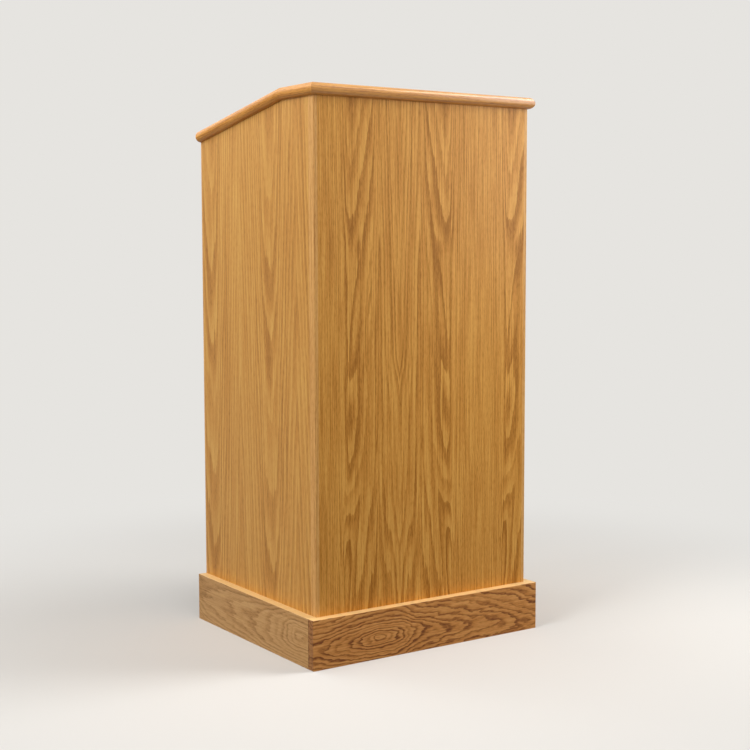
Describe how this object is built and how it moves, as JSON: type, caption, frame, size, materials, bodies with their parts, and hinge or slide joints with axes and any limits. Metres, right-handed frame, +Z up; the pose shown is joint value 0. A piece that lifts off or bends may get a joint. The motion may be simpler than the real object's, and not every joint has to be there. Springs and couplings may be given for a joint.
{
  "type": "floor lectern",
  "caption": "Free-standing oak floor lectern with a sloping reading top, half-round edge strips, a base board all round the front and sides, an open back and a loose shelf inside.",
  "frame": {"origin": "on the floor, under the middle of the whole lectern's bounding box", "axes": "+Z up, -Y towards the audience side, +Y towards the open back and the speaker, +X to the right seen from the audience"},
  "size_m": [0.571, 0.4932, 1.145],
  "materials": {
    "oak_veneer": "oak veneer, satin lacquer",
    "oak_lipping": "solid oak, satin lacquer",
    "oak_moulding": "solid oak, satin lacquer",
    "oak_base": "solid oak, satin lacquer",
    "pine_cleat": "planed pine, bare",
    "beech_dowel": "turned beech, bare",
    "zinc_steel": "bright zinc plate"
  },
  "bodies": {
    "case": {"front_panel": "oak_veneer", "front_lipping_left": "oak_lipping", "front_lipping_right": "oak_lipping", "side_panel_left": "oak_veneer", "side_panel_right": "oak_veneer", "rear_lipping_left": "oak_lipping", "rear_lipping_right": "oak_lipping", "bottom_panel": "oak_veneer", "bottom_lipping": "oak_lipping", "rear_kick": "oak_veneer", "deck_panel": "oak_veneer", "reading_panel": "oak_veneer", "reading_edge": "oak_lipping", "book_stop": "oak_moulding", "bullnose_front": "oak_moulding", "bullnose_left_level": "oak_moulding", "bullnose_left_slope": "oak_moulding", "bullnose_right_level": "oak_moulding", "bullnose_right_slope": "oak_moulding", "base_front": "oak_base", "base_left": "oak_base", "base_right": "oak_base", "top_cleat_front": "pine_cleat", "top_cleat_left": "pine_cleat", "top_cleat_right": "pine_cleat", "reading_cleat_left": "pine_cleat", "reading_cleat_right": "pine_cleat", "bend_batten": "pine_cleat", "bottom_cleat_front": "pine_cleat", "bottom_cleat_left": "pine_cleat", "bottom_cleat_right": "pine_cleat", "shelf_pins": "zinc_steel", "corner_dowels": "beech_dowel", "top_screws": "zinc_steel", "bottom_screws": "zinc_steel", "base_screws": "zinc_steel", "stop_screws": "zinc_steel"},
    "shelf": {"shelf": "oak_veneer", "shelf_lipping": "oak_lipping"}
  },
  "joints": [
    {"name": "shelf_slide", "type": "slide", "parent": "case", "child": "shelf", "axis": [0, 1, 0], "range_m": [0, 0.06]}
  ]
}
